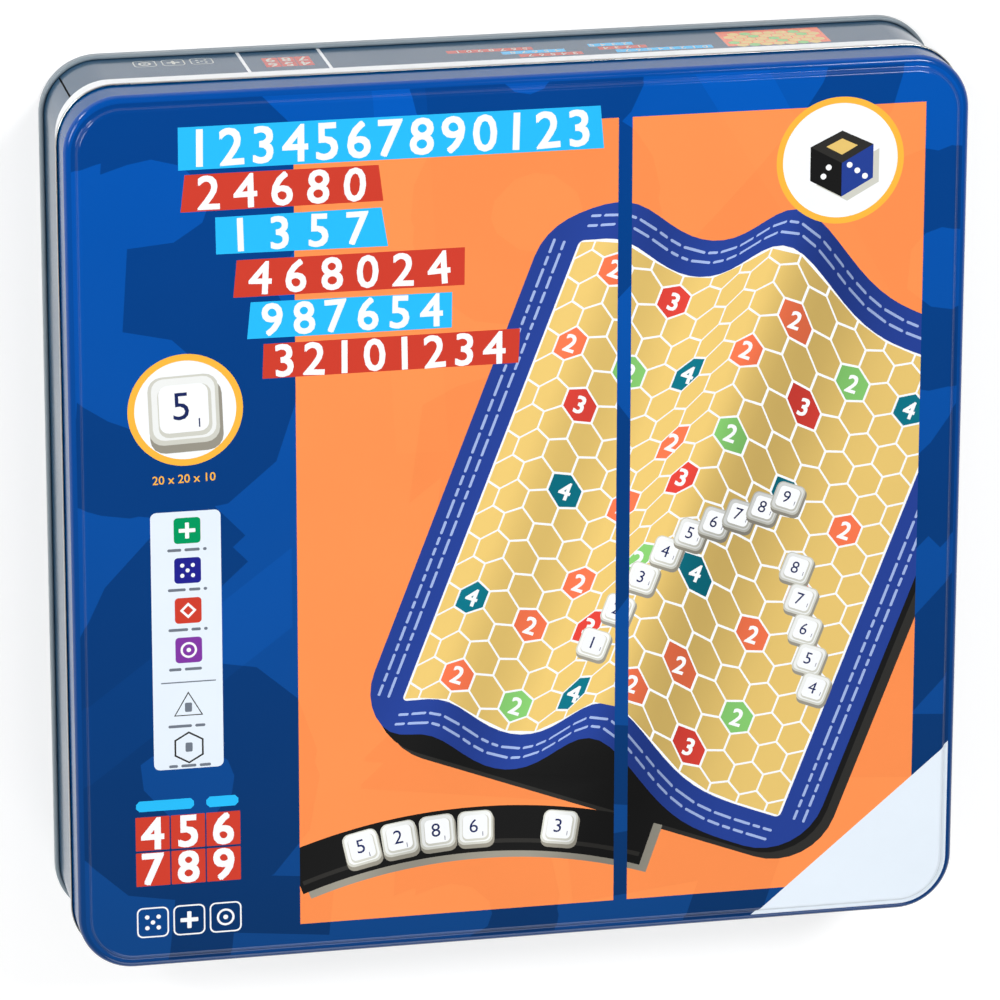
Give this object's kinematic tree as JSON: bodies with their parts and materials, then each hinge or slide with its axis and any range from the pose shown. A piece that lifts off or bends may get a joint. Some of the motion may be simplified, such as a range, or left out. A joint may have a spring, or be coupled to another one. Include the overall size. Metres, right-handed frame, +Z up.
{
  "type": "travel word tile game case",
  "caption": "Square slip-lid tin with a printed lid, holding a folded play mat, a formed tray of letter tiles, tile racks and a leaflet.",
  "frame": {"origin": "middle of the underside of the base seam, on the surface that the tin lies on", "axes": "+Z up through the lid; +Y towards the edge at the top of the lid's print; +X to the right of the print"},
  "size_m": [0.2412, 0.2412, 0.045],
  "materials": {
    "lid_print": "glossy litho print on tinplate",
    "wall_print": "glossy litho print on tinplate with a white band",
    "base_print": "satin lacquer on tinplate",
    "mat_rubber": "printed cloth face on black foam rubber",
    "tray_plastic": "vacuum-formed sheet, satin",
    "tile_plastic": "polished, with stamped letters",
    "rack_plastic": "moulded, fine satin",
    "leaflet_paper": "uncoated, folded"
  },
  "bodies": {
    "case": {"body_wall": "wall_print", "base_panel": "base_print"},
    "lid": {"lid_shell": "lid_print"},
    "leaflet": {"rules_leaflet": "leaflet_paper"},
    "tiles": {"tile_row_01": "tile_plastic", "tile_row_02": "tile_plastic", "tile_row_03": "tile_plastic", "tile_row_04": "tile_plastic", "tile_row_05": "tile_plastic", "tile_row_06": "tile_plastic", "tile_row_07": "tile_plastic", "tile_row_08": "tile_plastic", "tile_row_09": "tile_plastic", "tile_row_10": "tile_plastic"},
    "racks": {"rack_1": "rack_plastic", "rack_2": "rack_plastic", "rack_3": "rack_plastic", "rack_4": "rack_plastic"},
    "tray": {"insert_tray": "tray_plastic"},
    "mat": {"play_mat": "mat_rubber"}
  },
  "joints": [
    {"name": "lid_lift", "type": "slide", "parent": "case", "child": "lid", "axis": [0, 0, 1], "range_m": [0, 0.26]},
    {"name": "leaflet_lift", "type": "slide", "parent": "case", "child": "leaflet", "axis": [0, 0, 1], "range_m": [0, 0.1976]},
    {"name": "tiles_lift", "type": "slide", "parent": "case", "child": "tiles", "axis": [0, 0, 1], "range_m": [0, 0.1404]},
    {"name": "racks_lift", "type": "slide", "parent": "case", "child": "racks", "axis": [0, 0, 1], "range_m": [0, 0.1404]},
    {"name": "tray_lift", "type": "slide", "parent": "case", "child": "tray", "axis": [0, 0, 1], "range_m": [0, 0.0832]},
    {"name": "mat_lift", "type": "slide", "parent": "case", "child": "mat", "axis": [0, 0, 1], "range_m": [0, 0.0312]}
  ],
  "couplings": [
    {"joint": "leaflet_lift", "follows": "lid_lift", "ratio": 0.76},
    {"joint": "tiles_lift", "follows": "lid_lift", "ratio": 0.54},
    {"joint": "racks_lift", "follows": "lid_lift", "ratio": 0.54},
    {"joint": "tray_lift", "follows": "lid_lift", "ratio": 0.32},
    {"joint": "mat_lift", "follows": "lid_lift", "ratio": 0.12}
  ]
}
